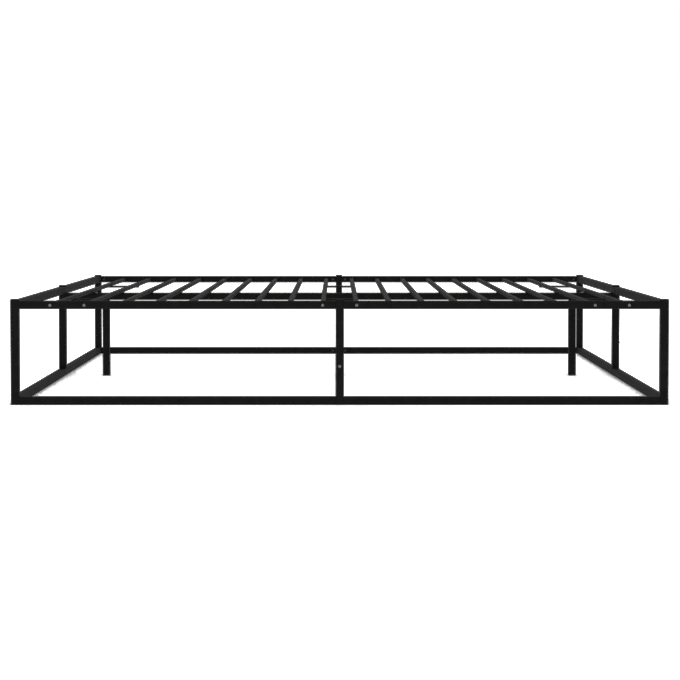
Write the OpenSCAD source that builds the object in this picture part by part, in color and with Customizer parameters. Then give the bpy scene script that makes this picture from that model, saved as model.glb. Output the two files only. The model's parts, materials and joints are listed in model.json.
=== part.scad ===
// Metal bed frame: a box of square tube with slats on a centre beam

/* [Frame] */
// Overall length, along X
frame_l = 2060; // [1600:10:2500]
// Overall width, along Y
frame_w = 2060; // [1500:10:2500]
// Height of the rail tops above the floor
rail_top = 326; // [250:1:450]

/* [Tube] */
// Outside of the square frame tube
tube = 25; // [20:1:32]
// Wall of the frame tube
tube_wall = 1.5; // [1:0.1:2]
// Outside corner radius of the frame tube
tube_r = 2; // [1:0.1:3]

/* [Inserts] */
// Clearance on each side of an insert
insert_gap = 0.3; // [0.2:0.05:0.5]
// Length of the inserts that the rails slide over
rail_insert_l = 26; // [20:1:30]
// Distance from a post to the screw of a rail joint
rail_screw_in = 13.5; // [9:0.5:14]
// Length of the upright insert on a floor tee
post_insert_l = 114; // [60:1:140]
// Distance from the end of a long insert back to its screw
insert_end = 18; // [10:1:30]

/* [Slats] */
// Number of slats
slat_n = 18; // [14:2:20]
// Distance from the end of the frame to the middle of the first slat
slat_edge = 124; // [110:1:160]
// Width of a slat
slat_w = 15; // [12:1:20]
// Height of a slat
slat_h = 12; // [10:1:14]
// Wall of a slat
slat_wall = 1.2; // [0.8:0.1:1.6]
// Outside corner radius of a slat
slat_r = 1.5; // [1:0.1:2.5]
// Depth of the slat tops below the rail tops
slat_drop = 7.5; // [5:0.5:9]
// Length of the threaded block welded into the end of a screwed slat
slat_block_l = 22; // [15:1:40]
// Distance of the cross straps from the centre line
strap_y = 515; // [300:5:600]
// Width of a cross strap
strap_w = 25; // [15:1:40]
// Thickness of a cross strap
strap_t = 5; // [3:0.5:8]

/* [Slat holders] */
// Length of a slat holder
holder_l = 26; // [18:1:40]
// Wall of a slat holder
holder_wall = 1.6; // [1:0.1:2]
// Thickness of a slat holder behind the slat
holder_base = 3; // [2:0.5:5]
// Diameter of the peg that locks a holder into its rail
peg_d = 7; // [5:0.5:9]
// Clearance around a slat in its holder
holder_gap = 0.3; // [0.2:0.05:0.5]

/* [Beam] */
// Height of the pads between the beam and the slats
pad_h = 3; // [2:0.5:6]
// Length of the joiner inside the beam
joiner_l = 160; // [120:5:240]
// Distance of each joiner screw from the next
joiner_screw_step = 30; // [20:1:40]
// Distance of an outer leg outwards from the middle of its slat pair
leg_shift = 4.5; // [0:0.5:8]
// Diameter of the stud on a beam leg
stud_d = 8; // [6:1:10]
// Height of the nuts that take the studs
nut_h = 6; // [4:0.5:8]
// Thickness of the plate that closes the top of a leg
leg_plate_t = 3; // [2:0.5:5]

/* [Caps and plugs] */
// Height of a post cap above its tube
cap_h = 6; // [3:0.5:10]
// Chamfer around the top of a cap
cap_chamfer = 1.5; // [0.5:0.1:2.5]
// Depth of a cap or plug inside its tube
plug_l = 14; // [8:1:20]
// Wall of a cap or plug inside its tube
plug_wall = 2; // [1.5:0.1:3]
// Clearance on each side of a cap or plug in its tube
plug_gap = 0.2; // [0.1:0.05:0.3]

/* [Screws] */
// Thread diameter of the screws
screw_d = 5; // [4:0.5:6]
// Diameter of a screw head
head_d = 8.5; // [7.5:0.5:10]
// Height of a screw head
head_h = 2.6; // [2:0.1:3]
// Size of the hexagon socket across its flats
socket_af = 3; // [2.5:0.5:4]
// Clearance around a thread in a plain hole
hole_gap = 0.3; // [0.2:0.05:0.5]
// Clearance around a thread in its threaded hole
thread_gap = 0.1; // [0.05:0.05:0.2]

/* [Hidden] */
$fn = 32;
eps = 0.5;
inner_r = 0.4;
peg_catch = 1;
socket_depth = 1.4;
screw_end = 3;
head_space = 1.25;
head_edge = 0.8;
nut_wall = 3;
black = [0.1, 0.1, 0.1];
black_plastic = [0.06, 0.06, 0.06];
zinc = [0.7, 0.7, 0.72];

tube_in = tube - 2 * tube_wall;
insert = tube_in - 2 * insert_gap;
insert_in = insert - 2 * tube_wall;
insert_r = max(tube_r - tube_wall, inner_r);
screw_hole = screw_d + 2 * hole_gap;
thread_hole = screw_d + 2 * thread_gap;
top_z = rail_top - tube / 2;
floor_z = tube / 2;
rail_l_x = frame_l / 2 - tube * 1.5;
rail_l_y = frame_w / 2 - tube * 1.5;
inner_x = frame_l / 2 - tube;
inner_y = frame_w / 2 - tube;

slat_pitch = (frame_l - 2 * slat_edge) / (slat_n - 1);
slat_z = rail_top - slat_drop - slat_h / 2;
slat_under = slat_z - slat_h / 2;
pair_x = frame_l / 2 - slat_edge - slat_pitch / 2;
leg_x = pair_x + leg_shift;
slats_per_side = slat_n / 2 - 3;

beam_top = slat_under - pad_h;
beam_z = beam_top - tube / 2;
beam_under = beam_top - tube;
beam_screw_in = slat_edge + slat_w / 2 + head_d / 2 + head_space - tube;
beam_insert_l = beam_screw_in + insert_end;
stud_l = 2 * tube_wall + insert_gap + nut_h + eps;
nut_side = stud_d + 2 * nut_wall;
thin_screw_l = 2 * tube_wall + insert_gap + screw_end;
post_screw_z = tube + post_insert_l - insert_end;

// Rounded rectangle, centred
module round_rect(w, h, r) {
    square([w - 2 * r, h], center = true);
    square([w, h - 2 * r], center = true);
    for (x = [-1, 1], y = [-1, 1]) translate([x * (w / 2 - r), y * (h / 2 - r)]) circle(r);
}

// Hollow section, centred
module tube_section(w, h, t, r) {
    difference() {
        round_rect(w, h, r);
        round_rect(w - 2 * t, h - 2 * t, max(r - t, inner_r));
    }
}

// Frame tube that runs up from the origin
module tube_up(l) {
    linear_extrude(l) tube_section(tube, tube, tube_wall, tube_r);
}

// Frame tube that runs along +X from the origin
module tube_along(l) {
    rotate([90, 0, 90]) tube_up(l);
}

// Hole through one wall and the insert behind it, centred on the wall's face, along Y
module wall_hole(d) {
    rotate([90, 0, 0]) cylinder(d = d, h = 2 * (tube_wall + insert_gap + tube_wall + eps), center = true);
}

// Insert that runs along +X, with its screw hole in the +Y wall
module insert_along(l, screw_x) {
    difference() {
        translate([-tube_wall / 2, 0, 0]) rotate([90, 0, 90])
            linear_extrude(l + tube_wall / 2) tube_section(insert, insert, tube_wall, insert_r);
        translate([screw_x, insert / 2, 0]) wall_hole(thread_hole);
    }
}

// Button-head screw: the head stands on +Z and the thread runs down
module screw(l) {
    rise = head_h - head_edge;
    dome_r = (pow(head_d / 2, 2) + pow(rise, 2)) / (2 * rise);
    translate([0, 0, -l]) cylinder(d = screw_d, h = l + eps);
    difference() {
        intersection() {
            cylinder(d = head_d, h = head_h);
            translate([0, 0, head_h - dome_r]) sphere(dome_r, $fn = 48);
        }
        translate([0, 0, head_h - socket_depth]) cylinder(d = socket_af / cos(30), h = head_h, $fn = 6);
    }
}

// Places a front right piece in the quarter that the signs give
module quarter(sx, sy) {
    mirror([sx < 0 ? 1 : 0, 0, 0]) mirror([0, sy > 0 ? 1 : 0, 0]) children();
}

// Start of a front or back rail: X runs from the mid post, +Y points inwards
module rail_x_start(sx, sy, z) {
    quarter(sx, sy) translate([tube / 2, -(frame_w - tube) / 2, z]) children();
}

// Start of a side rail: X runs from the mid post, +Y points inwards
module rail_y_start(sx, sy, z) {
    quarter(sx, sy) translate([(frame_l - tube) / 2, -tube / 2, z]) mirror([1, 0, 0]) rotate([0, 0, -90])
        children();
}

// Turns a piece at the mid post end of a rail round to its corner post end
module far_end(l) {
    translate([l, 0, 0]) mirror([1, 0, 0]) children();
}

module rail(l) {
    difference() {
        tube_along(l);
        for (x = [rail_screw_in, l - rail_screw_in]) translate([x, tube / 2, 0]) wall_hole(screw_hole);
        children();
    }
}

// Middle of slat i on the right side, counted from the middle outwards
function slat_x(i) = (i + 0.5) * slat_pitch;
function is_screwed(i) = i == 0 || i >= slat_n / 2 - 2;

module rail_insert() {
    insert_along(rail_insert_l, rail_screw_in);
}

module corner_post(sx, sy) {
    color(black) {
        quarter(sx, sy) translate([(frame_l - tube) / 2, -(frame_w - tube) / 2, 0]) tube_up(rail_top);
        for (z = [floor_z, top_z]) {
            rail_x_start(sx, sy, z) far_end(rail_l_x) rail_insert();
            rail_y_start(sx, sy, z) far_end(rail_l_y) rail_insert();
        }
    }
}

// Upper tube of a mid post, with its outer face on -Y
module mid_post_tube() {
    difference() {
        translate([0, 0, tube]) tube_up(rail_top - tube);
        translate([0, -tube / 2, post_screw_z]) wall_hole(screw_hole);
    }
}

// Floor tee without its side inserts, with its outer face on -Y
module tee_body() {
    difference() {
        union() {
            linear_extrude(tube) round_rect(tube, tube, tube_r);
            linear_extrude(tube + post_insert_l) round_rect(insert, insert, insert_r);
        }
        translate([0, 0, tube_wall]) linear_extrude(tube + post_insert_l)
            round_rect(insert_in, insert_in, inner_r);
        translate([0, -insert / 2, post_screw_z]) wall_hole(thread_hole);
    }
}

// Turns a mid post piece to the middle of its side
module at_side_x(sy) {
    translate([0, sy * (frame_w - tube) / 2, 0]) rotate([0, 0, sy < 0 ? 0 : 180]) children();
}

module at_side_y(sx) {
    translate([sx * (frame_l - tube) / 2, 0, 0]) rotate([0, 0, sx * 90]) children();
}

module mid_post_x(sy) {
    color(black) {
        at_side_x(sy) mid_post_tube();
        for (sx = [-1, 1]) rail_x_start(sx, sy, top_z) rail_insert();
    }
}

module mid_post_y(sx) {
    color(black) {
        at_side_y(sx) mid_post_tube();
        for (sy = [-1, 1]) rail_y_start(sx, sy, top_z) rail_insert();
        beam_end(sx) rotate([90, 0, 0]) insert_along(beam_insert_l, beam_screw_in);
    }
}

module floor_tee_x(sy) {
    color(black) {
        at_side_x(sy) tee_body();
        for (sx = [-1, 1]) rail_x_start(sx, sy, floor_z) rail_insert();
    }
}

module floor_tee_y(sx) {
    color(black) {
        at_side_y(sx) tee_body();
        for (sy = [-1, 1]) rail_y_start(sx, sy, floor_z) rail_insert();
    }
}

module top_rail_x(sx, sy) {
    color(black) rail_x_start(sx, sy, top_z) rail(rail_l_x)
        for (i = [0 : slat_n / 2 - 1]) translate([slat_x(i) - tube / 2, 0, slat_z - top_z]) {
            if (is_screwed(i)) rotate([90, 0, 0]) cylinder(d = screw_hole, h = 2 * tube, center = true);
            else translate([0, tube / 2, 0]) wall_hole(peg_d + 2 * holder_gap);
        }
}

module top_rail_y(sx, sy) {
    color(black) rail_y_start(sx, sy, top_z) rail(rail_l_y);
}

module floor_rail_x(sx, sy) {
    color(black) rail_x_start(sx, sy, floor_z) rail(rail_l_x);
}

module floor_rail_y(sx, sy) {
    color(black) rail_y_start(sx, sy, floor_z) rail(rail_l_y);
}

// Loose slat: an open tube that stops in its holders
module slat(sx, i) {
    l = 2 * (inner_y - holder_base - holder_gap);
    color(black) translate([sx * slat_x(i), l / 2, slat_z]) rotate([90, 0, 0])
        linear_extrude(l) tube_section(slat_w, slat_h, slat_wall, slat_r);
}

// Screwed slat: its ends are blocked and drilled for the screws
module screwed_slat(x) {
    l = 2 * inner_y;
    hollow_l = l - 2 * slat_block_l;
    translate([x, 0, slat_z]) rotate([90, 0, 0]) difference() {
        translate([0, 0, -l / 2]) linear_extrude(l) round_rect(slat_w, slat_h, slat_r);
        translate([0, 0, -hollow_l / 2]) linear_extrude(hollow_l)
            round_rect(slat_w - 2 * slat_wall, slat_h - 2 * slat_wall, max(slat_r - slat_wall, inner_r));
        for (s = [-1, 1]) translate([0, 0, s * l / 2])
            cylinder(d = thread_hole, h = 2 * slat_block_l + eps, center = true);
    }
}

module slat_pair(x) {
    color(black) {
        for (s = [-1, 1]) screwed_slat(x + s * slat_pitch / 2);
        for (s = [-1, 1]) translate([x, s * strap_y, slat_under - strap_t / 2 + slat_wall / 4])
            cube([slat_pitch + slat_w, strap_w, strap_t + slat_wall / 2], center = true);
    }
}

// End of the beam: X runs from the end post towards the middle
module beam_end(sx) {
    mirror([sx > 0 ? 1 : 0, 0, 0]) translate([-inner_x, 0, beam_z]) children();
}

module nut(side) {
    translate([0, 0, nut_h / 2 - eps / 2]) cube([side, side, nut_h + eps], center = true);
}

module beam(sx) {
    color(black) beam_end(sx) difference() {
        union() {
            tube_along(inner_x);
            translate([inner_x - leg_x, 0, tube_wall - tube / 2]) nut(nut_side);
        }
        for (x = [inner_x - leg_x, inner_x]) translate([x, 0, -tube / 2])
            cylinder(d = stud_d + 2 * hole_gap, h = 2 * (tube_wall + nut_h) + eps, center = true);
        translate([beam_screw_in, 0, tube / 2]) rotate([90, 0, 0]) wall_hole(screw_hole);
        for (x = joiner_screws()) translate([inner_x - x, 0, -tube / 2]) rotate([90, 0, 0])
            wall_hole(screw_hole);
    }
}

function joiner_screws() = [joiner_l / 2 - insert_end - joiner_screw_step, joiner_l / 2 - insert_end];

module beam_joiner() {
    color(black) translate([0, 0, beam_z]) difference() {
        union() {
            translate([-joiner_l / 2, 0, 0]) rotate([90, 0, 90])
                linear_extrude(joiner_l) tube_section(insert, insert, tube_wall, insert_r);
            translate([0, 0, -insert_in / 2]) nut(nut_side);
        }
        translate([0, 0, -tube / 2])
            cylinder(d = stud_d + 2 * hole_gap, h = 2 * (tube + nut_h) - tube, center = true);
        for (s = [-1, 1], x = joiner_screws()) translate([s * x, 0, -insert / 2]) rotate([90, 0, 0])
            wall_hole(thread_hole);
    }
}

module beam_leg(x) {
    color(black) translate([x, 0, 0]) {
        tube_up(beam_under);
        translate([0, 0, beam_under - leg_plate_t]) linear_extrude(leg_plate_t)
            round_rect(tube, tube, tube_r);
        translate([0, 0, beam_under - eps]) cylinder(d = stud_d, h = stud_l + eps);
    }
}

// Places a piece on the axis of every post
module at_posts() {
    for (x = [-1, 0, 1], y = [-1, 0, 1]) if (x != 0 || y != 0)
        translate([x * (frame_l - tube) / 2, y * (frame_w - tube) / 2, 0]) children();
}

// Part of a cap or plug inside its tube, running down from the origin
module plug_skirt() {
    side = tube_in - 2 * plug_gap;
    translate([0, 0, -plug_l]) linear_extrude(plug_l)
        tube_section(side, side, plug_wall, insert_r);
}

// Square with its two upper corners cut, as a bar along X
module chamfered_bar() {
    rotate([90, 0, 90]) linear_extrude(2 * tube, center = true) polygon([
        [-tube / 2, 0], [tube / 2, 0], [tube / 2, cap_h - cap_chamfer],
        [tube / 2 - cap_chamfer, cap_h], [cap_chamfer - tube / 2, cap_h], [-tube / 2, cap_h - cap_chamfer]
    ]);
}

module post_caps() {
    color(black_plastic) at_posts() translate([0, 0, rail_top]) {
        intersection() {
            linear_extrude(cap_h) round_rect(tube, tube, tube_r);
            chamfered_bar();
            rotate([0, 0, 90]) chamfered_bar();
        }
        translate([0, 0, eps]) plug_skirt();
    }
}

module foot_plug() {
    side = tube_in - 2 * plug_gap;
    translate([0, 0, plug_l]) plug_skirt();
    linear_extrude(plug_wall) round_rect(side, side, insert_r);
}

module foot_plugs() {
    color(black_plastic) {
        for (sx = [-1, 1], sy = [-1, 1])
            translate([sx * (frame_l - tube) / 2, sy * (frame_w - tube) / 2, 0]) foot_plug();
        for (x = [-leg_x, 0, leg_x]) translate([x, 0, 0]) foot_plug();
    }
}

// Holder for the front end of a loose slat: the rail's face is at the origin
module slat_holder() {
    pocket_w = slat_w + 2 * holder_gap;
    pocket_h = slat_h + 2 * holder_gap;
    rotate([-90, 0, 0]) difference() {
        union() {
            linear_extrude(holder_l)
                round_rect(pocket_w + 2 * holder_wall, pocket_h + 2 * holder_wall, slat_r + holder_wall);
            translate([0, 0, -tube_wall - peg_catch]) cylinder(d = peg_d, h = tube_wall + peg_catch + eps);
        }
        translate([0, 0, holder_base]) linear_extrude(holder_l)
            round_rect(pocket_w, pocket_h, slat_r);
    }
}

module slat_holders() {
    color(black_plastic) for (sx = [-1, 1], sy = [-1, 1], i = [1 : slats_per_side])
        quarter(sx, sy) translate([slat_x(i), -inner_y, slat_z]) slat_holder();
}

module beam_pads() {
    color(black_plastic) for (sx = [-1, 1], i = [0 : slat_n / 2 - 1])
        translate([sx * slat_x(i), 0, beam_top]) linear_extrude(pad_h)
            round_rect(slat_w, tube - 2 * tube_r, slat_r);
}

module rail_screw() {
    translate([rail_screw_in, tube / 2, 0]) rotate([-90, 0, 0]) screw(thin_screw_l);
}

module rail_screws() {
    color(zinc) for (sx = [-1, 1], sy = [-1, 1], z = [floor_z, top_z]) {
        rail_x_start(sx, sy, z) {
            rail_screw();
            far_end(rail_l_x) rail_screw();
        }
        rail_y_start(sx, sy, z) {
            rail_screw();
            far_end(rail_l_y) rail_screw();
        }
    }
}

module slat_screws() {
    color(zinc) for (sx = [-1, 1], sy = [-1, 1], i = [0 : slat_n / 2 - 1]) if (is_screwed(i))
        quarter(sx, sy) translate([slat_x(i), -frame_w / 2, slat_z]) rotate([90, 0, 0])
            screw(tube + slat_block_l - screw_end);
}

module post_screws() {
    color(zinc) {
        for (s = [-1, 1]) at_side_x(s) post_screw();
        for (s = [-1, 1]) at_side_y(s) post_screw();
    }
}

module post_screw() {
    translate([0, -tube / 2, post_screw_z]) rotate([90, 0, 0]) screw(thin_screw_l);
}

module beam_screws() {
    color(zinc) for (sx = [-1, 1]) beam_end(sx) {
        translate([beam_screw_in, 0, tube / 2]) screw(thin_screw_l);
        for (x = joiner_screws()) translate([inner_x - x, 0, -tube / 2]) rotate([180, 0, 0])
            screw(thin_screw_l);
    }
}

corner_post(-1, -1);  // corner_post_front_left
corner_post(1, -1);  // corner_post_front_right
corner_post(-1, 1);  // corner_post_back_left
corner_post(1, 1);  // corner_post_back_right
mid_post_x(-1);  // mid_post_front
mid_post_x(1);  // mid_post_back
mid_post_y(-1);  // mid_post_left
mid_post_y(1);  // mid_post_right
floor_tee_x(-1);  // floor_tee_front
floor_tee_x(1);  // floor_tee_back
floor_tee_y(-1);  // floor_tee_left
floor_tee_y(1);  // floor_tee_right
top_rail_x(-1, -1);  // top_rail_front_left
top_rail_x(1, -1);  // top_rail_front_right
top_rail_x(-1, 1);  // top_rail_back_left
top_rail_x(1, 1);  // top_rail_back_right
top_rail_y(-1, -1);  // top_rail_left_front
top_rail_y(-1, 1);  // top_rail_left_back
top_rail_y(1, -1);  // top_rail_right_front
top_rail_y(1, 1);  // top_rail_right_back
floor_rail_x(-1, -1);  // floor_rail_front_left
floor_rail_x(1, -1);  // floor_rail_front_right
floor_rail_x(-1, 1);  // floor_rail_back_left
floor_rail_x(1, 1);  // floor_rail_back_right
floor_rail_y(-1, -1);  // floor_rail_left_front
floor_rail_y(-1, 1);  // floor_rail_left_back
floor_rail_y(1, -1);  // floor_rail_right_front
floor_rail_y(1, 1);  // floor_rail_right_back
slat_pair(-pair_x);  // slat_pair_left
slat_pair(0);  // slat_pair_centre
slat_pair(pair_x);  // slat_pair_right
slat(-1, 1);  // slat_left_1
slat(-1, 2);  // slat_left_2
slat(-1, 3);  // slat_left_3
slat(-1, 4);  // slat_left_4
slat(-1, 5);  // slat_left_5
slat(-1, 6);  // slat_left_6
slat(1, 1);  // slat_right_1
slat(1, 2);  // slat_right_2
slat(1, 3);  // slat_right_3
slat(1, 4);  // slat_right_4
slat(1, 5);  // slat_right_5
slat(1, 6);  // slat_right_6
beam(-1);  // beam_left
beam(1);  // beam_right
beam_joiner();
beam_leg(-leg_x);  // beam_leg_left
beam_leg(0);  // beam_leg_centre
beam_leg(leg_x);  // beam_leg_right
post_caps();
foot_plugs();
slat_holders();
beam_pads();
rail_screws();
slat_screws();
post_screws();
beam_screws();
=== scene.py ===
import json
import math
import bmesh
import bpy
import numpy as np
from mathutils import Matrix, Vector

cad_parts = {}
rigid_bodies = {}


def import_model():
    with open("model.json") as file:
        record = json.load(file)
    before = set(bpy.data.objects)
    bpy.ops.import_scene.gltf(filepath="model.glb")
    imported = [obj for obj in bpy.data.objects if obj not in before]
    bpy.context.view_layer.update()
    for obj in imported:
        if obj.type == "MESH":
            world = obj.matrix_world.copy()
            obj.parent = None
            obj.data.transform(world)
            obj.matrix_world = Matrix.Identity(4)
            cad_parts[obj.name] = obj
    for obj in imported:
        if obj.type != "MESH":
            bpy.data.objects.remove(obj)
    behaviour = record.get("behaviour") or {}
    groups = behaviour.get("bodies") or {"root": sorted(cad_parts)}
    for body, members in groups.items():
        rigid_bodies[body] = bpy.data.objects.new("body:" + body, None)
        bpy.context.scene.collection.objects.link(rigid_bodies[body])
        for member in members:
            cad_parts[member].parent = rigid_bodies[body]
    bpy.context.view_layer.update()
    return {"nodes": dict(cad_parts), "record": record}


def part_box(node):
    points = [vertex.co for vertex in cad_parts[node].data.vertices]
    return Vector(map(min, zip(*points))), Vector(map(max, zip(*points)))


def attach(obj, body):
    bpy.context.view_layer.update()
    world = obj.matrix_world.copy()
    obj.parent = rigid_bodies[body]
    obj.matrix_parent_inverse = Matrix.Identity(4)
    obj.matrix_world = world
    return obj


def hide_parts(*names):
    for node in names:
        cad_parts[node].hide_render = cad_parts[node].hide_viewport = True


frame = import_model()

mm = 0.001
root = "root"
touching = 1e-6  # metres; points this near are one
level = 1e-5  # metres; points this near lie in one plane
merging = 1e-7  # metres; rings this near close a shape


# a shader socket that takes part in plain arithmetic
class Wire:
    def __init__(self, paint, socket):
        self.paint = paint
        self.socket = socket

    def math(self, operation, *values):
        return self.paint.node("ShaderNodeMath", {"operation": operation}, dict(enumerate(values)))

    def __add__(self, other):
        return self.math("ADD", self, other)

    def __radd__(self, other):
        return self.math("ADD", other, self)

    def __sub__(self, other):
        return self.math("SUBTRACT", self, other)

    def __rsub__(self, other):
        return self.math("SUBTRACT", other, self)

    def __mul__(self, other):
        return self.math("MULTIPLY", self, other)

    def __rmul__(self, other):
        return self.math("MULTIPLY", other, self)

    def __pow__(self, other):
        return self.math("POWER", self, other)

    def clamp(self):
        return self.math("MINIMUM", self.math("MAXIMUM", self, 0.0), 1.0)

    def ramp(self, low, high):  # 0 below low, 1 above high, smooth between
        settings = {"interpolation_type": "SMOOTHSTEP"}
        values = {"Value": self, "From Min": low, "From Max": high}
        return self.paint.node("ShaderNodeMapRange", settings, values)


skyRange = (0.6, 1.0)  # how far up a surface faces before it counts as a top


# a material whose nodes are added one by one
class Paint:
    def __init__(self, name):
        self.material = bpy.data.materials.new(name)
        self.material.use_nodes = True
        self.tree = self.material.node_tree
        self.tree.nodes.clear()
        self.place = self.node("ShaderNodeTexCoord", output="Object")

    def node(self, kind, settings=None, values=None, output=0):
        made = self.tree.nodes.new(kind)
        for key, value in (settings or {}).items():
            setattr(made, key, value)
        for key, value in (values or {}).items():
            if isinstance(value, Wire):
                self.tree.links.new(value.socket, made.inputs[key])
            else:
                made.inputs[key].default_value = value
        return Wire(self, made.outputs[output])

    def noise(self, scale, detail=2.0, roughness=0.5, place=None):
        values = {"Vector": place or self.place, "Scale": scale, "Detail": detail, "Roughness": roughness}
        return self.node("ShaderNodeTexNoise", None, values)

    def cells(self, scale):
        return self.node("ShaderNodeTexVoronoi", None, {"Vector": self.place, "Scale": scale})

    def stretched(self, scale):  # object place, drawn out along one way
        return self.node("ShaderNodeMapping", None, {"Vector": self.place, "Scale": scale})

    def mix(self, factor, colourA, colourB):
        mixed = self.tree.nodes.new("ShaderNodeMix")
        mixed.data_type = "RGBA"
        for key, value in {0: factor, 6: colourA, 7: colourB}.items():
            if isinstance(value, Wire):
                self.tree.links.new(value.socket, mixed.inputs[key])
            else:
                mixed.inputs[key].default_value = value
        return Wire(self, mixed.outputs[2])

    def upward(self):  # 1 where the surface faces the sky
        normal = self.node("ShaderNodeNewGeometry", output="Normal")
        height = self.node("ShaderNodeSeparateXYZ", None, {"Vector": normal}, output="Z")
        return height.ramp(*skyRange)

    def bump(self, height, strength, distance):
        values = {"Height": height, "Strength": strength, "Distance": distance}
        return self.node("ShaderNodeBump", None, values)

    def surface(self, **values):
        named = {key.replace("_", " "): value for key, value in values.items()}
        shader = self.node("ShaderNodeBsdfPrincipled", None, named)
        out = self.tree.nodes.new("ShaderNodeOutputMaterial")
        self.tree.links.new(shader.socket, out.inputs["Surface"])
        return self.material

    def dulled(self, roughness):  # rougher at a flat angle, where a coat would turn white
        facing = self.node("ShaderNodeLayerWeight", None, {"Blend": 0.5}, "Facing")
        return (roughness + (facing ** 3) * (1.0 - roughness)).clamp()


def grey(value, warm=0.0):
    return (value * (1 + warm), value, value * (1 - warm), 1.0)


# satin black powder coat, with a painted sheen that makes what faces up lighter
coat = {
    "black": 0.0022,
    "blackWorn": 0.0042,
    # warms both the worn black and the painted top sheen
    "wornWarmth": 0.02,
    # painted sheen: the light greys that upward faces are mixed toward, and how much
    "tubeTopSheen": 0.01,
    "slatTopSheen": 0.037,
    "slatTint": 1.15,
    "topSheenShare": 0.3,
    "topSheenSwing": 0.3,
    "topRoughness": 0.2,
    "tubeRoughness": 0.42,
    "slatRoughness": 0.4,
    "roughnessSwing": 0.16,
    "rubRoughness": 0.07,
    "cloudScale": 5.0,
    "blotchScale": 38.0,
    "blotchRange": (0.3, 0.7),
    "patchRange": (0.35, 0.75),
    "rubScale": 150.0,
    "rubStretch": (1.0, 0.12, 1.0),
    "rubRange": (0.62, 0.8),
    "peelScale": 620.0,
    "grainScale": 2600.0,
    "peelShare": 0.7,
    "bumpStrength": 0.55,
    "peelHeight": 0.22 * mm,
    "specular": 0.07,
}


def powderCoat(name, tint, top, roughness):
    paint = Paint(name)
    cloud = paint.noise(coat["cloudScale"], 4.0, 0.6)
    blotch = paint.noise(coat["blotchScale"], 3.0)
    peel = paint.noise(coat["peelScale"], 2.0)
    grain = paint.noise(coat["grainScale"], 1.0)
    rub = paint.noise(coat["rubScale"], 3.0, 0.7, paint.stretched(coat["rubStretch"]))
    rub = rub.ramp(*coat["rubRange"])
    patches = cloud.ramp(*coat["patchRange"]) * blotch
    # painted sheen: upward faces lightened in patches; the same mask also roughens them
    topSheenMask = paint.upward() * (coat["topSheenShare"] + patches * coat["topSheenSwing"])
    black = grey(coat["black"] * tint)
    worn = grey(coat["blackWorn"] * tint, coat["wornWarmth"])
    colour = paint.mix(blotch.ramp(*coat["blotchRange"]), black, worn)
    # upward faces are painted toward the sheen grey given as top
    colour = paint.mix(topSheenMask.clamp(), colour, grey(top, coat["wornWarmth"]))
    shine = roughness + (cloud - 0.5) * coat["roughnessSwing"]
    shine = shine + rub * coat["rubRoughness"] + topSheenMask * coat["topRoughness"]
    height = peel * coat["peelShare"] + grain * (1 - coat["peelShare"])
    normal = paint.bump(height, coat["bumpStrength"], coat["peelHeight"])
    return paint.surface(Base_Color=colour, Roughness=paint.dulled(shine), Normal=normal,
                         Specular_IOR_Level=coat["specular"])


# matt moulded plastic for the caps, plugs and slat holders, with a painted sheen on what faces up
plastic = {
    "capBlack": 0.004,
    "holderBlack": 0.005,
    "worn": 1.8,  # times the black
    # painted sheen: the light grey that upward faces are mixed toward, its warmth and how much
    "top": 0.03,
    "topSheenWarmth": 0.02,
    "topSheenShare": 0.06,
    "topSheenSwing": 0.08,
    "capRoughness": 0.5,
    "holderRoughness": 0.58,
    "roughnessSwing": 0.18,
    "cloudScale": 60.0,
    "cloudRange": (0.3, 0.75),
    "grainScale": 1500.0,
    "bumpStrength": 0.4,
    "grainHeight": 0.08 * mm,
    "specular": 0.05,
}


def mouldedPlastic(name, black, roughness):
    paint = Paint(name)
    grain = paint.cells(plastic["grainScale"])
    cloud = paint.noise(plastic["cloudScale"], 3.0)
    colour = paint.mix(cloud.ramp(*plastic["cloudRange"]), grey(black), grey(black * plastic["worn"]))
    # painted sheen: upward faces lightened in patches
    topSheenMask = paint.upward() * (plastic["topSheenShare"] + cloud * plastic["topSheenSwing"])
    colour = paint.mix(topSheenMask, colour, grey(plastic["top"], plastic["topSheenWarmth"]))
    shine = roughness + (cloud - 0.5) * plastic["roughnessSwing"]
    normal = paint.bump(grain, plastic["bumpStrength"], plastic["grainHeight"])
    return paint.surface(Base_Color=colour, Roughness=paint.dulled(shine), Normal=normal,
                         Specular_IOR_Level=plastic["specular"])


# plating on the screws
zinc = {"bright": 0.46, "dull": 0.3, "roughness": 0.38}
# painted shade: a darker copy of the zinc plating for the rail screws, the same bolts sitting on shaded
# inner faces
shadedPlating = {"bright": 0.07, "dull": 0.035, "roughness": 0.45}
plating = {
    "brightWarmth": 0.01,
    "dullWarmth": 0.05,
    "cloudScale": 320.0,
    "cloudRange": (0.35, 0.7),
    "spangleScale": 1400.0,
    "scratchScale": 900.0,
    "scratchStretch": (1.0, 1.0, 0.2),
    "scratchRange": (0.6, 0.72),
    "spangleRoughness": 0.12,
    "scratchRoughness": 0.12,
    "scratchRelief": 0.4,
    "metallic": 0.9,
    "bumpStrength": 0.25,
    "bumpHeight": 0.06 * mm,
}


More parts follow.
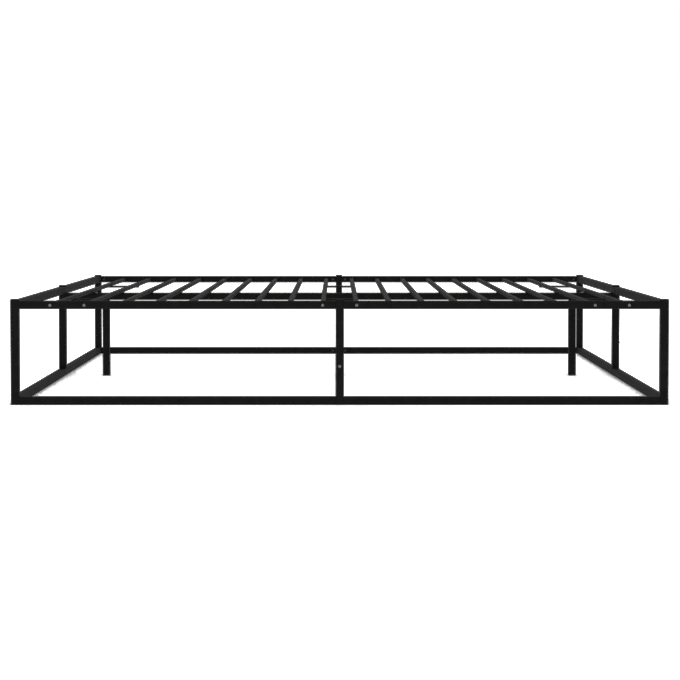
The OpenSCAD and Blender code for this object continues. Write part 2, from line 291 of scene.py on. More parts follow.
def plated(name, look):
    paint = Paint(name)
    cloud = paint.noise(plating["cloudScale"], 3.0, 0.6)
    spangle = paint.cells(plating["spangleScale"])
    scratch = paint.noise(plating["scratchScale"], 2.0, 0.5, paint.stretched(plating["scratchStretch"]))
    scratch = scratch.ramp(*plating["scratchRange"])
    bright = grey(look["bright"], plating["brightWarmth"])
    dull = grey(look["dull"], plating["dullWarmth"])
    colour = paint.mix(cloud.ramp(*plating["cloudRange"]), bright, dull)
    shine = look["roughness"] + spangle * plating["spangleRoughness"]
    shine = shine + scratch * plating["scratchRoughness"]
    metallic = plating["metallic"] + cloud * (1 - plating["metallic"])
    height = cloud + scratch * plating["scratchRelief"]
    normal = paint.bump(height, plating["bumpStrength"], plating["bumpHeight"])
    return paint.surface(Base_Color=colour, Roughness=shine.clamp(), Metallic=metallic, Normal=normal)


# black rubber of the beam pads
rubber = {
    "black": 0.012,
    "worn": 0.02,
    "wornWarmth": 0.02,
    "roughness": 0.74,
    "roughnessSwing": 0.12,
    "cloudScale": 90.0,
    "grainScale": 1800.0,
    "bumpStrength": 0.5,
    "grainHeight": 0.1 * mm,
    "specular": 0.3,
}


def softRubber(name):
    paint = Paint(name)
    grain = paint.noise(rubber["grainScale"], 2.0)
    cloud = paint.noise(rubber["cloudScale"], 2.0)
    colour = paint.mix(cloud, grey(rubber["black"]), grey(rubber["worn"], rubber["wornWarmth"]))
    shine = rubber["roughness"] + cloud * rubber["roughnessSwing"]
    normal = paint.bump(grain, rubber["bumpStrength"], rubber["grainHeight"])
    return paint.surface(Base_Color=colour, Roughness=shine, Normal=normal,
                         Specular_IOR_Level=rubber["specular"])


tubeCoat = powderCoat("tubeCoat", 1.0, coat["tubeTopSheen"], coat["tubeRoughness"])
# the slats' copy of the coat, with a stronger painted top sheen
slatCoat = powderCoat("slatCoat", coat["slatTint"], coat["slatTopSheen"], coat["slatRoughness"])
capPlastic = mouldedPlastic("capPlastic", plastic["capBlack"], plastic["capRoughness"])
holderPlastic = mouldedPlastic("holderPlastic", plastic["holderBlack"], plastic["holderRoughness"])
screwZinc = plated("screwZinc", zinc)
screwShaded = plated("screwShaded", shadedPlating)
padRubber = softRubber("padRubber")
print("materials made")


def looseParts(node):  # the vertices of each solid of a node
    mesh = frame["nodes"][node].data
    points = np.array([v.co for v in mesh.vertices])
    key, index = np.unique(np.round(points / touching).astype(np.int64), axis=0, return_inverse=True)
    index = index.reshape(-1)
    parent = np.arange(len(key))

    def find(a):
        while parent[a] != a:
            parent[a] = parent[parent[a]]
            a = parent[a]
        return a

    for edge in mesh.edges:
        a, b = find(index[edge.vertices[0]]), find(index[edge.vertices[1]])
        parent[a] = b
    groups = {}
    for i in range(len(points)):
        groups.setdefault(find(index[i]), []).append(i)
    return [points[members] for members in groups.values()]


def middles(node):  # the middle of each solid of a node
    return [Vector((points.min(0) + points.max(0)) / 2) for points in looseParts(node)]


def partSize(node):  # the size of a node's first solid
    return np.ptp(looseParts(node)[0], axis=0)


def addObject(name, mesh):
    made = bpy.data.objects.new(name, mesh)
    bpy.context.scene.collection.objects.link(made)
    return made


def loft(name, rings):  # a closed shape through rings of equal length, from one end to the other
    mesh = bpy.data.meshes.new(name)
    shape = bmesh.new()
    rows = [[shape.verts.new(point) for point in ring] for ring in rings]
    for a, b in zip(rows, rows[1:]):
        for i in range(len(a)):
            j = (i + 1) % len(a)
            shape.faces.new((a[i], a[j], b[j], b[i]))
    shape.faces.new(rows[0][::-1])
    shape.faces.new(rows[-1])
    bmesh.ops.remove_doubles(shape, verts=shape.verts, dist=merging)
    bmesh.ops.recalc_face_normals(shape, faces=shape.faces)
    shape.to_mesh(mesh)
    shape.free()
    return mesh


cornerSteps = 5
smallestCorner = 0.05 * mm


def roundRect(width, height, radius, z):
    ring = []
    radius = max(radius, smallestCorner)
    for corner, (sx, sy) in enumerate(((1, 1), (-1, 1), (-1, -1), (1, -1))):
        for k in range(cornerSteps + 1):
            a = math.radians(90 * (corner + k / cornerSteps))
            x = sx * (width / 2 - radius) + radius * math.cos(a)
            y = sy * (height / 2 - radius) + radius * math.sin(a)
            ring.append((x, y, z))
    return ring


def circleRing(radius, z, count):
    angles = [2 * math.pi * k / count for k in range(count)]
    return [(radius * math.cos(a), radius * math.sin(a), z) for a in angles]


# a Geometry Nodes tree with named inputs
class Nodes:
    def __init__(self, name, inputs):
        self.tree = bpy.data.node_groups.new(name, "GeometryNodeTree")
        self.tree.is_modifier = True
        face = self.tree.interface
        face.new_socket(name="Geometry", in_out="INPUT", socket_type="NodeSocketGeometry")
        self.ids = {}
        for key, kind in inputs.items():
            self.ids[key] = face.new_socket(name=key, in_out="INPUT", socket_type=kind).identifier
        face.new_socket(name="Geometry", in_out="OUTPUT", socket_type="NodeSocketGeometry")
        self.start = self.tree.nodes.new("NodeGroupInput")

    def given(self, name):
        return self.start.outputs[name]

    def node(self, kind, settings=None, values=None, output=0):
        made = self.tree.nodes.new(kind)
        for key, value in (settings or {}).items():
            setattr(made, key, value)
        for key, value in (values or {}).items():
            if isinstance(value, bpy.types.NodeSocket):
                self.tree.links.new(value, made.inputs[key])
            else:
                made.inputs[key].default_value = value
        return made.outputs[output]

    def math(self, operation, *values):
        return self.node("ShaderNodeMath", {"operation": operation}, dict(enumerate(values)))

    def join(self, *parts):
        made = self.tree.nodes.new("GeometryNodeJoinGeometry")
        for part in parts:
            self.tree.links.new(part, made.inputs[0])
        return made.outputs[0]

    def end(self, geometry):
        realized = self.node("GeometryNodeRealizeInstances", None, {0: geometry})
        values = {0: realized, "Material": self.given("Material")}
        painted = self.node("GeometryNodeSetMaterial", None, values)
        out = self.tree.nodes.new("NodeGroupOutput")
        self.tree.links.new(painted, out.inputs[0])

    def run(self, name, carrier, **values):  # a plain mesh object of the tree's result
        host = addObject(name + "Carrier", carrier)
        modifier = host.modifiers.new(name, "NODES")
        modifier.node_group = self.tree
        for key, value in values.items():
            modifier[self.ids[key]] = value
        bpy.context.view_layer.update()
        graph = bpy.context.evaluated_depsgraph_get()
        mesh = bpy.data.meshes.new_from_object(host.evaluated_get(graph), depsgraph=graph)
        host.modifiers.remove(modifier)
        bpy.data.objects.remove(host)
        made = addObject(name, mesh)
        made.data.name = name
        return made


def hand(piece, slot, *nodes):  # gives a finished piece to the frame
    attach(piece, root)
    if nodes:
        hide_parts(*nodes)


def smoothByAngle(piece, degrees=35):
    shape = bmesh.new()
    shape.from_mesh(piece.data)
    limit = math.radians(degrees)
    for face in shape.faces:
        face.smooth = True
    for edge in shape.edges:
        edge.smooth = edge.is_manifold and edge.calc_face_angle(0) < limit
    shape.to_mesh(piece.data)
    shape.free()


def scatterTree():  # one copy of the template on each point, turned by its "turn" attribute
    nodes = Nodes("scatter", {"Template": "NodeSocketObject", "Material": "NodeSocketMaterial"})
    template = nodes.node("GeometryNodeObjectInfo", {"transform_space": "ORIGINAL"},
                          {"Object": nodes.given("Template")}, "Geometry")
    turn = nodes.node("GeometryNodeInputNamedAttribute", {"data_type": "FLOAT_VECTOR"}, {"Name": "turn"})
    rotation = nodes.node("FunctionNodeEulerToRotation", None, {0: turn})
    values = {"Points": nodes.given("Geometry"), "Instance": template, "Rotation": rotation}
    nodes.end(nodes.node("GeometryNodeInstanceOnPoints", None, values))
    return nodes


scatter = scatterTree()


def pointCloud(name, places):  # places: (position, euler turn)
    mesh = bpy.data.meshes.new(name)
    mesh.from_pydata([tuple(place) for place, turn in places], [], [])
    turns = mesh.attributes.new("turn", "FLOAT_VECTOR", "POINT")
    turns.data.foreach_set("vector", [part for place, turn in places for part in turn])
    return mesh


def scattered(name, template, places, material):
    source = addObject(name + "Template", template)
    made = scatter.run(name, pointCloud(name + "Points", places), Template=source, Material=material)
    bpy.data.objects.remove(source)
    smoothByAngle(made)
    return made


# frame nodes that keep their shape are shown merged and smoothly shaded, through a modifier
def softenTree():
    nodes = Nodes("soften", {"Material": "NodeSocketMaterial", "Angle": "NodeSocketFloat"})
    values = {0: nodes.given("Geometry"), "Distance": touching}
    merged = nodes.node("GeometryNodeMergeByDistance", None, values)
    smooth = nodes.node("GeometryNodeSetShadeSmooth", {"domain": "FACE"}, {0: merged})
    angle = nodes.node("GeometryNodeInputMeshEdgeAngle")
    settings = {"operation": "GREATER_THAN"}
    sharp = nodes.node("FunctionNodeCompare", settings, {0: angle, 1: nodes.given("Angle")})
    values = {0: smooth, "Selection": sharp, "Shade Smooth": False}
    nodes.end(nodes.node("GeometryNodeSetShadeSmooth", {"domain": "EDGE"}, values))
    return nodes


soften = softenTree()
kept = {"tube": tubeCoat, "slat": slatCoat}
sharpAngle = math.radians(30)


def showNode(node, material):
    shown = frame["nodes"][node]
    if not shown.material_slots:
        shown.data.materials.append(material)
    for place in shown.material_slots:
        place.material = material
    modifier = shown.modifiers.new("soften", "NODES")
    modifier.node_group = soften.tree
    modifier[soften.ids["Material"]] = material
    modifier[soften.ids["Angle"]] = sharpAngle


slotOf = {row["node"]: row["material_slot"] for row in frame["record"]["subparts"]}
looseSlats = sorted(n for n in frame["nodes"] if n.startswith(("slat_left", "slat_right")))
keptNodes = [n for n in frame["nodes"] if slotOf[n] in kept and n not in looseSlats]
for node in keptNodes:
    showNode(node, kept[slotOf[node]])
print("frame nodes painted:", len(keptNodes))


# loose slats: hollow tubes swept along their length, one at each place in the row
slatTube = {
    "wall": 1.2 * mm,
    "corner": 1.5 * mm,
    "smallestCorner": 0.3 * mm,
    "cornerPoints": 5,
}


def slatTree():
    floats = ("Length", "Width", "Height", "Wall", "Corner", "Smallest Corner")
    inputs = {key: "NodeSocketFloat" for key in floats}
    inputs["Corner Points"] = "NodeSocketInt"
    inputs["Material"] = "NodeSocketMaterial"
    nodes = Nodes("slatRow", inputs)

    def outline(inset):
        width = nodes.math("SUBTRACT", nodes.given("Width"), nodes.math("MULTIPLY", inset, 2.0))
        height = nodes.math("SUBTRACT", nodes.given("Height"), nodes.math("MULTIPLY", inset, 2.0))
        radius = nodes.math("SUBTRACT", nodes.given("Corner"), inset)
        radius = nodes.math("MAXIMUM", radius, nodes.given("Smallest Corner"))
        sides = {"Width": width, "Height": height}
        box = nodes.node("GeometryNodeCurvePrimitiveQuadrilateral", None, sides)
        values = {0: box, "Radius": radius, "Count": nodes.given("Corner Points"), "Limit Radius": True}
        return nodes.node("GeometryNodeFilletCurve", {"mode": "POLY"}, values)

    def skin(inset, flip):
        half = nodes.math("MULTIPLY", nodes.given("Length"), 0.5)
        start = nodes.node("ShaderNodeCombineXYZ", None, {"Y": nodes.math("MULTIPLY", half, -1.0)})
        stop = nodes.node("ShaderNodeCombineXYZ", None, {"Y": half})
        path = nodes.node("GeometryNodeCurvePrimitiveLine", None, {"Start": start, "End": stop})
        values = {"Curve": path, "Profile Curve": outline(inset)}
        swept = nodes.node("GeometryNodeCurveToMesh", None, values)
        return nodes.node("GeometryNodeFlipFaces", None, {0: swept}) if flip else swept

    both = nodes.join(skin(0.0, False), skin(nodes.given("Wall"), True))
    values = {"Points": nodes.given("Geometry"), "Instance": both}
    nodes.end(nodes.node("GeometryNodeInstanceOnPoints", None, values))
    return nodes


def closeEnds(piece):  # bridges the outer and inner rim at each end of each tube
    shape = bmesh.new()
    shape.from_mesh(piece.data)
    loops = openLoops(shape)
    loops.sort(key=lambda loop: (round(loopMiddle(loop).x, 4), round(loopMiddle(loop).y, 4)))
    for a, b in zip(loops[::2], loops[1::2]):
        bmesh.ops.bridge_loops(shape, edges=a + b)
    bmesh.ops.recalc_face_normals(shape, faces=shape.faces)
    shape.to_mesh(piece.data)
    shape.free()


def openLoops(shape):
    left = {edge for edge in shape.edges if edge.is_boundary}
    loops = []
    while left:
        todo, loop = [left.pop()], []
        while todo:
            edge = todo.pop()
            loop.append(edge)
            near = [e for v in edge.verts for e in v.link_edges if e in left]
            left.difference_update(near)
            todo.extend(near)
        loops.append(loop)
    return loops


def loopMiddle(loop):
    points = [v.co for edge in loop for v in edge.verts]
    return sum(points, Vector()) / len(points)


def makeSlats():
    rows = [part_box(node) for node in looseSlats]
    low, high = rows[0]
    size = high - low
    places = [((a + b) / 2, (0, 0, 0)) for a, b in rows]
    values = {"Length": size.y, "Width": size.x, "Height": size.z, "Wall": slatTube["wall"]}
    values["Corner"] = slatTube["corner"]
    values["Smallest Corner"] = slatTube["smallestCorner"]
    values["Corner Points"] = slatTube["cornerPoints"]
    made = slatTree().run("looseSlats", pointCloud("slatPoints", places), Material=slatCoat, **values)
    closeEnds(made)
    smoothByAngle(made)
    hand(made, "slat", *looseSlats)


makeSlats()
print("slats made")


# screws: button heads with a hexagon socket and a cut thread
screw = {
    "headEdge": 0.8 * mm,
    "edgeRound": 0.35 * mm,
    "socket": 3.0 * mm,
    "socketRim": 1.28,  # times the socket's half width
    "socketDepth": 1.4 * mm,
    "socketLip": 0.15 * mm,
    "drillRadius": 0.4 * mm,
    "drillDepth": 0.4 * mm,
    "domeRings": 6,
    "pitch": 0.8 * mm,
    "ringsPerTurn": 4,
    "threadDepth": 0.35 * mm,
    "tipShare": 0.55,  # of the thread's radius, growing over the first turn
    "count": 24,
    "widest": 0.98,  # share of the radius that counts as the head's edge
}


def screwMesh(name, headRadius, headHeight, threadRadius, length):
    count = screw["count"]
    rings = []
    perTurn = screw["ringsPerTurn"]
    steps = max(2, round(length / screw["pitch"])) * perTurn
    for k in range(steps + 1):  # the thread, from its tip up to the head
        z = -length + length * k / steps
        ring = []
        for i in range(count):
            turn = (z / screw["pitch"] - i / count) % 1.0
            depth = screw["threadDepth"] * abs(2 * turn - 1) if k < steps else 0.0
            tip = min(1.0, screw["tipShare"] + (1 - screw["tipShare"]) * k / perTurn)
            angle = 2 * math.pi * i / count
            r = (threadRadius - depth) * tip
            ring.append((r * math.cos(angle), r * math.sin(angle), z))
        rings.append(ring)
    edge, soft = screw["headEdge"], screw["edgeRound"]
    rings.append(circleRing(headRadius - soft, 0, count))
    rings.append(circleRing(headRadius, soft, count))
    rings.append(circleRing(headRadius, edge, count))
    rim = screw["socket"] / 2 * screw["socketRim"]
    for k in range(1, screw["domeRings"]):
        a = math.pi / 2 * k / screw["domeRings"]
        r = rim + (headRadius - rim) * math.cos(a)
        rings.append(circleRing(r, edge + (headHeight - edge) * math.sin(a), count))
    rings.append(circleRing(rim, headHeight, count))
    bottom = headHeight - screw["socketDepth"]
    for z in (headHeight - screw["socketLip"], bottom):
        ring = []
        for i in range(count):
            a = 2 * math.pi * i / count
            toFlat = (a % (math.pi / 3)) - math.pi / 6
            r = screw["socket"] / 2 / math.cos(toFlat)
            ring.append((r * math.cos(a), r * math.sin(a), z))
        rings.append(ring)
    rings.append(circleRing(screw["drillRadius"], bottom - screw["drillDepth"], count))
    return loft(name, rings)


turnFor = {  # euler turn that points +Z along an axis
    (0, 1): (0, math.pi / 2, 0),
    (0, -1): (0, -math.pi / 2, 0),
    (1, 1): (-math.pi / 2, 0, 0),
    (1, -1): (math.pi / 2, 0, 0),
    (2, 1): (0, 0, 0),
    (2, -1): (math.pi, 0, 0),
}


def screwPlaces(node):  # each screw's seat, its turn and its sizes, read from the CAD solids
    found = []
    for points in looseParts(node):
        low, high = points.min(0), points.max(0)
        axis = min(range(3), key=lambda i: abs((high - low)[i - 1] - (high - low)[i - 2]))
        middle = (low + high) / 2
        across = [i for i in range(3) if i != axis]
        away = np.hypot(points[:, across[0]] - middle[across[0]], points[:, across[1]] - middle[across[1]])
        headRadius = away.max()
        wide = points[away > headRadius * screw["widest"]][:, axis]
        sign = 1 if wide.mean() > middle[axis] else -1
        seat = wide.min() if sign > 0 else wide.max()
        top = high[axis] if sign > 0 else low[axis]
        tip = low[axis] if sign > 0 else high[axis]
        narrow = away[np.abs(points[:, axis] - tip) < level].max()
        place = middle.copy()
        place[axis] = seat
        sizes = (headRadius, abs(top - seat), narrow, abs(seat - tip))
        found.append((Vector(place), turnFor[axis, sign], sizes))
    return found


def makeScrews(name, node, material):
    places = screwPlaces(node)
    template = screwMesh(name + "Shape", *places[0][2])
    made = scattered(name, template, [place[:2] for place in places], material)
    hand(made, slotOf[node], node)


# the rail screws get the darker, painted-shade copy of the plating
makeScrews("railScrews", "rail_screws", screwShaded)
makeScrews("slatScrews", "slat_screws", screwZinc)
makeScrews("postScrews", "post_screws", screwZinc)
makeScrews("beamScrews", "beam_screws", screwZinc)
print("screws made")


# post caps: pillow top, shadow gap and a finned skirt
cap = {
    "gap": 0.4 * mm,
    "gapDepth": 0.5 * mm,
    "lip": 0.1 * mm,
    "lipHeight": 0.15 * mm,
    "round": 2.4 * mm,
    "roundRings": 5,
    "crown": 0.6 * mm,
    "crownRings": 5,
    "crownFlat": 1.0 * mm,
    "corner": 2.0 * mm,
    "smallestCorner": 0.4 * mm,
    "fins": 3,
    "finHeight": 0.25 * mm,
    "finStart": 2.0 * mm,
    "finHalf": 0.6 * mm,
    "skirtWall": 2.0 * mm,
    "skirtTaper": 0.4 * mm,
    "roof": 1.0 * mm,
}


def capMesh(side, height, skirtSide, skirtLength):
    def ring(inset, z):
        corner = max(cap["corner"] - inset * 0.5, cap["smallestCorner"])
        return roundRect(side - 2 * inset, side - 2 * inset, corner, z)

    skirtInset = (side - skirtSide) / 2
    finFoot = skirtInset + cap["finHeight"]
    hollow = skirtInset + cap["skirtWall"]
    top = height - cap["crown"]
    rings = [ring(hollow, -cap["roof"]), ring(hollow, -skirtLength)]
    rings.append(ring(skirtInset + cap["skirtTaper"], -skirtLength))
    spread = skirtLength - 2 * cap["finStart"]
    for k in range(cap["fins"]):  # each fin leans on the inside of the tube
        z = -skirtLength + cap["finStart"] + k * spread / cap["fins"]
        rings += [ring(finFoot, z), ring(skirtInset, z + cap["finHalf"])]
        rings.append(ring(finFoot, z + 2 * cap["finHalf"]))
    rings += [ring(finFoot, 0), ring(cap["gapDepth"], 0), ring(cap["gapDepth"], cap["gap"])]
    rings += [ring(cap["lip"], cap["gap"]), ring(0, cap["gap"] + cap["lipHeight"])]
    for k in range(cap["roundRings"] + 1):  # rounded shoulder
        a = math.pi / 2 * k / cap["roundRings"]
        rings.append(ring(cap["round"] * (1 - math.cos(a)), top - cap["round"] * (1 - math.sin(a))))
    for k in range(1, cap["crownRings"]):  # low crown
        share = k / cap["crownRings"]
        inset = cap["round"] + (side / 2 - cap["round"] - cap["crownFlat"]) * share
        rings.append(ring(inset, top + cap["crown"] * (1 - (1 - share) ** 2)))
    return loft("capShape", rings)


def makeCaps():
    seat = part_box("corner_post_front_left")[1].z  # the posts' tops
    first = looseParts("post_caps")[0]
    side = np.ptp(first[:, 0])
    low, high = first[:, 2].min(), first[:, 2].max()
    skirtSide = np.ptp(first[first[:, 2] < low + level][:, 0])
    template = capMesh(side, high - seat, skirtSide, seat - low)
    places = [((middle.x, middle.y, seat), (0, 0, 0)) for middle in middles("post_caps")]
    hand(scattered("postCaps", template, places, capPlastic), "cap", "post_caps")


makeCaps()
print("caps made")


# foot plugs: finned cups, closed at the floor
plug = {
    "wall": 2.0 * mm,
    "corner": 0.6 * mm,
    "innerCorner": 0.5 * mm,
    "mouthTaper": 0.4 * mm,
    "fins": 3,
    "finHeight": 0.25 * mm,
    "finStart": 2.0 * mm,
    "finHalf": 0.6 * mm,
    "footInset": 0.2 * mm,
    "footRound": 0.6 * mm,
    "footHeight": 0.5 * mm,
}


def plugMesh(side, height):
    def ring(inset, z, corner=plug["corner"]):
        return roundRect(side - 2 * inset, side - 2 * inset, corner, z)

    wall, inner = plug["wall"], plug["innerCorner"]
    rings = [ring(wall, wall, inner), ring(wall, height, inner), ring(plug["mouthTaper"], height)]
    spread = height - 1.5 * plug["finStart"]
    for k in range(plug["fins"]):
        z = height - plug["finStart"] - k * spread / plug["fins"]
        rings += [ring(plug["finHeight"], z), ring(0, z - plug["finHalf"])]
        rings.append(ring(plug["finHeight"], z - 2 * plug["finHalf"]))
    rings += [ring(plug["footInset"], plug["footHeight"]), ring(plug["footRound"], 0, inner)]
    return loft("plugShape", rings)


def makePlugs():
    width, depth, height = partSize("foot_plugs")
    places = [(middle - Vector((0, 0, height / 2)), (0, 0, 0)) for middle in middles("foot_plugs")]
    hand(scattered("footPlugs", plugMesh(width, height), places, capPlastic), "plug", "foot_plugs")


makePlugs()


# slat holders: a moulded cup with a rolled rim, grip ribs and a round peg
holder = {
    "wall": 1.6 * mm,
    "base": 3.0 * mm,
    "corner": 3.1 * mm,
    "smallestCorner": 0.5 * mm,
    "rim": 0.8 * mm,
    "collar": 3.0 * mm,
    "collarStep": 0.4 * mm,
    "ribs": 4,
    "ribHeight": 0.35 * mm,
    "ribStart": 6.0 * mm,
    "ribPitch": 4.0 * mm,
    "ribSlope": 0.5 * mm,
    "ribWidth": 1.0 * mm,
    "heel": 0.8 * mm,
    "pegRadius": 3.5 * mm,
    "pegLength": 2.5 * mm,
    "pegRound": 0.6 * mm,
}


def holderMesh(width, height, length):  # its back lies at the origin and the slat enters along +Z
    def ring(inset, z):
        corner = max(holder["corner"] - inset, holder["smallestCorner"])
        return roundRect(width - 2 * inset, height - 2 * inset, corner, z)

    wall, rim, rib = holder["wall"], holder["rim"], holder["ribHeight"]
    rings = [ring(wall, holder["base"]), ring(wall, length - rim), ring(wall - rim / 2, length)]
    rings += [ring(rim / 2, length), ring(0, length - rim / 2)]
    collar = length - holder["collar"]
    rings += [ring(0, collar), ring(rib, collar - holder["collarStep"])]
    slope, flat = holder["ribSlope"], holder["ribWidth"]
    for k in range(holder["ribs"]):
        z = length - holder["ribStart"] - k * holder["ribPitch"]
        rings += [ring(rib, z), ring(0, z - slope)]
        rings += [ring(0, z - slope - flat), ring(rib, z - 2 * slope - flat)]
    heel = holder["heel"]
    rings += [ring(rib, heel + holder["collarStep"]), ring(0, heel), ring(0, 0)]
    count = len(rings[0])
    radius, end, soft = holder["pegRadius"], -holder["pegLength"], holder["pegRound"]
    for r, z in ((radius, 0), (radius, end + soft), (radius - soft, end)):
        rings.append(circleRing(r, z, count))
    return loft("holderShape", rings)


def makeHolders():
    width, length, height = partSize("slat_holders")
    template = holderMesh(width, height, length - holder["pegLength"])
    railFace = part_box("top_rail_front_left")[1].y
    places = []
    for middle in middles("slat_holders"):
        side = math.copysign(1, middle.y)
        places.append(((middle.x, -side * railFace, middle.z), (side * math.pi / 2, 0, 0)))
    hand(scattered("slatHolders", template, places, holderPlastic), "holder", "slat_holders")


makeHolders()


# beam pads: rubber blocks with rounded edges and a groove around the sides
pad = {
    "soft": 0.5 * mm,
    "groove": 0.3 * mm,
    "corner": 1.5 * mm,
}


def padMesh(width, depth, height):
    def ring(inset, z):
        return roundRect(width - 2 * inset, depth - 2 * inset, pad["corner"] - inset / 2, z)

    soft, groove, half = pad["soft"], pad["groove"], height / 2
    rings = [ring(soft, 0), ring(0, soft), ring(0, half - groove), ring(groove, half)]
    rings += [ring(0, half + groove), ring(0, height - soft), ring(soft, height)]
    return loft("padShape", rings)


def makePads():
    width, depth, height = partSize("beam_pads")
    places = [(middle - Vector((0, 0, height / 2)), (0, 0, 0)) for middle in middles("beam_pads")]
    hand(scattered("beamPads", padMesh(width, depth, height), places, padRubber), "pad", "beam_pads")


makePads()
print("plastic and rubber parts made")


# weld beads: rippled runs along the seams of the straps and the leg plates
weld = {
    "strapRadius": 1.8 * mm,
    "legRadius": 0.7 * mm,
    "ripple": 0.13,
    "step": 1.6 * mm,
    "wobbleScale": 240.0,
    "sides": 8,
    "inset": 0.3 * mm,
    "strapGap": 2.0 * mm,
    "slatGap": 1.5 * mm,
    "plate": 3.0 * mm,
    "legCorner": 1.5 * mm,
    "legSink": 0.6,  # of the bead's radius, on each side of the leg
    "strapBelow": 1.0 * mm,  # what lies this far under the slats is strap
    "smoothAngle": 60,
}


def weldTree():
    floats = ("Radius", "Ripple", "Step", "Wobble Scale")
    inputs = {key: "NodeSocketFloat" for key in floats}
    inputs["Sides"] = "NodeSocketInt"
    inputs["Material"] = "NodeSocketMaterial"
    nodes = Nodes("weld", inputs)
    path = nodes.node("GeometryNodeMeshToCurve", None, {0: nodes.given("Geometry")})
    fine = nodes.math("MULTIPLY", nodes.given("Step"), 0.25)
    path = nodes.node("GeometryNodeResampleCurve", {"mode": "LENGTH"}, {"Curve": path, "Length": fine})
    along = nodes.node("GeometryNodeSplineParameter", output="Length")
    turn = nodes.math("MULTIPLY", nodes.math("DIVIDE", along, nodes.given("Step")), 2 * math.pi)
    wobble = nodes.node("ShaderNodeTexNoise", None, {"Scale": nodes.given("Wobble Scale"), "Detail": 1.0})
    swell = nodes.math("ADD", nodes.math("SINE", turn), nodes.math("SUBTRACT", wobble, 0.5))
    share = nodes.math("ADD", nodes.math("MULTIPLY", swell, nodes.given("Ripple")), 1.0)
    radius = nodes.math("MULTIPLY", share, nodes.given("Radius"))
    values = {"Resolution": nodes.given("Sides"), "Radius": 1.0}
    profile = nodes.node("GeometryNodeCurvePrimitiveCircle", None, values)
    values = {"Curve": path, "Profile Curve": profile, "Scale": radius, "Fill Caps": True}
    nodes.end(nodes.node("GeometryNodeCurveToMesh", None, values))
    return nodes


def pathMesh(name, paths):
    points = []
    edges = []
    for path in paths:
        start = len(points)
        points += path
        edges += [(start + k, start + k + 1) for k in range(len(path) - 1)]
    mesh = bpy.data.meshes.new(name)
    mesh.from_pydata(points, edges, [])
    return mesh


def strapSeams():
    slatLow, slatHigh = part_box(looseSlats[0])
    width = slatHigh.x - slatLow.x
    under = slatLow.z  # the straps lie against the slats' undersides
    gap, slatGap = weld["strapGap"], weld["slatGap"]
    seams = []
    for node in ("slat_pair_left", "slat_pair_centre", "slat_pair_right"):
        low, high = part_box(node)
        corners = [v.co for v in frame["nodes"][node].data.vertices if v.co.z < under - weld["strapBelow"]]
        for side in (-1, 1):
            rows = [corner.y for corner in corners if corner.y * side > 0]
            inside, outside = min(rows), max(rows)
            for x, inner in ((low.x, low.x + width), (high.x, high.x - width)):
                edge = inner + math.copysign(weld["inset"], x - inner)
                seams.append([(edge, inside + gap, under), (edge, outside - gap, under)])
                first, last = sorted((x, inner))
                for y in (inside + weld["inset"], outside - weld["inset"]):
                    seams.append([(first + slatGap, y, under), (last - slatGap, y, under)])
    return seams


def legSeams():
    seams = []
    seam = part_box("beam_left")[0].z - weld["plate"]
    for node in ("beam_leg_left", "beam_leg_centre", "beam_leg_right"):
        low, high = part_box(node)
        side = high.x - low.x - 2 * weld["legRadius"] * weld["legSink"]
        middle = (low + high) / 2
        ring = roundRect(side, side, weld["legCorner"], seam)
        seams.append([(middle.x + x, middle.y + y, z) for x, y, z in ring + ring[:1]])
    return seams


def makeWelds(name, paths, radius, material, slot):
    values = {"Radius": radius, "Ripple": weld["ripple"], "Step": weld["step"], "Sides": weld["sides"]}
    values["Wobble Scale"] = weld["wobbleScale"]
    made = beads.run(name, pathMesh(name + "Paths", paths), Material=material, **values)
    smoothByAngle(made, weld["smoothAngle"])
    hand(made, slot)


beads = weldTree()
makeWelds("strapWelds", strapSeams(), weld["strapRadius"], slatCoat, "slat")
makeWelds("legWelds", legSeams(), weld["legRadius"], tubeCoat, "tube")
print("welds made")


# pale floor that glows a little, so shadows stay soft
ground = {
    "size": 60.0,
    "pale": 0.97,
    "paler": 0.98,
    "roughness": 0.85,
    "roughnessSwing": 0.1,
    "cloudScale": 1.3,
    "grainScale": 240.0,
    "bumpStrength": 0.1,
    "grainHeight": 0.2 * mm,
    "specular": 0.1,
    "glow": 0.25,
}


def floorFinish(name):
    paint = Paint(name)
    cloud = paint.noise(ground["cloudScale"], 3.0)
    grain = paint.noise(ground["grainScale"], 2.0)
    colour = paint.mix(cloud, grey(ground["pale"]), grey(ground["paler"]))
    shine = ground["roughness"] + cloud * ground["roughnessSwing"]
    normal = paint.bump(grain, ground["bumpStrength"], ground["grainHeight"])
    return paint.surface(Base_Color=colour, Roughness=shine, Normal=normal,
                         Specular_IOR_Level=ground["specular"],
                         Emission_Color=grey(1.0), Emission_Strength=ground["glow"])


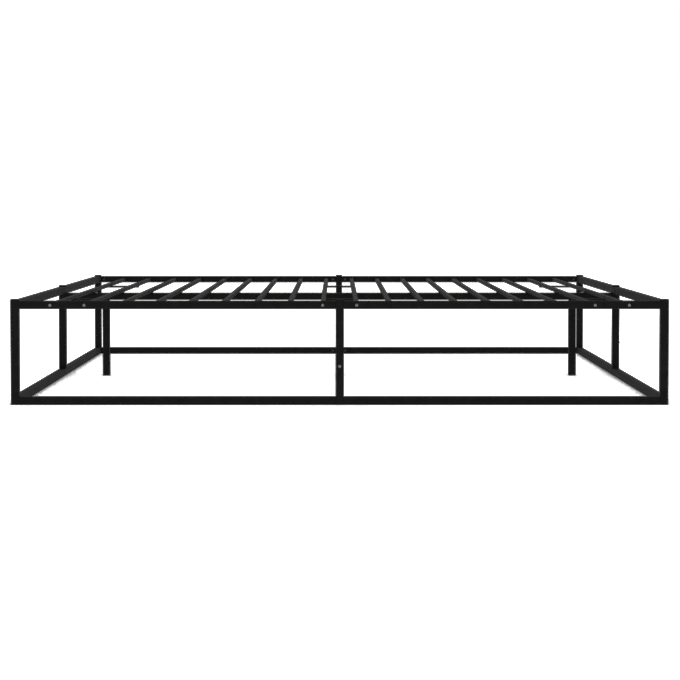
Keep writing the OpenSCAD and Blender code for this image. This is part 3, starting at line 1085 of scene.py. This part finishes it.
def makeFloor():
    shape = bmesh.new()
    bmesh.ops.create_grid(shape, x_segments=1, y_segments=1, size=ground["size"])
    mesh = bpy.data.meshes.new("floor")
    shape.to_mesh(mesh)
    shape.free()
    mesh.materials.append(floorFinish("floorFinish"))
    return addObject("floor", mesh)


floor = makeFloor()


# white room and three soft lamps
room = {"white": (1.0, 1.0, 1.0, 1.0), "strength": 1.02}
lamps = {
    "key": {"place": (-2.6, -3.2, 4.2), "size": 3.5, "power": 30},
    "fill": {"place": (3.2, -2.0, 3.6), "size": 3.5, "power": 17},
    "back": {"place": (0.0, 4.5, 3.6), "size": 4.0, "power": 20},
}

world = bpy.data.worlds.new("studio")
bpy.context.scene.world = world
world.use_nodes = True
background = world.node_tree.nodes["Background"]
background.inputs["Color"].default_value = room["white"]
background.inputs["Strength"].default_value = room["strength"]

for name, lamp in lamps.items():
    data = bpy.data.lights.new(name, "AREA")
    data.size = lamp["size"]
    data.energy = lamp["power"]
    stand = addObject(name, data)
    stand.location = lamp["place"]
    stand.rotation_euler = (-Vector(lamp["place"])).to_track_quat("-Z", "Y").to_euler()


# camera straight in front, a little above the bed
view = {
    "distance": 6.8472,
    "height": 0.623,
    "side": -0.009,
    "lens": 98.601,
    "sensor": 36.0,
    "tilt": 2.031,  # degrees down
    "yaw": 0.098,  # degrees to the right
    "shift": -0.1,
}

cameraData = bpy.data.cameras.new("camera")
cameraData.lens = view["lens"]
cameraData.sensor_width = view["sensor"]
cameraData.shift_y = view["shift"]
camera = addObject("camera", cameraData)
camera.location = (view["side"], -view["distance"], view["height"])
camera.rotation_euler = (math.radians(90 - view["tilt"]), 0, -math.radians(view["yaw"]))
bpy.context.scene.camera = camera

# firms up the middle greys and leaves the black coat alone
toneCurve = ((0.06, 0.06), (0.5, 0.2), (0.8, 0.46))

display = bpy.context.scene.view_settings
display.view_transform = "Standard"
display.use_curve_mapping = True
tones = display.curve_mapping.curves[3]  # the one for all colours
for x, y in toneCurve:
    tones.points.new(x, y)
for point in tones.points:
    point.handle_type = "VECTOR"
display.curve_mapping.update()
print("stage set")
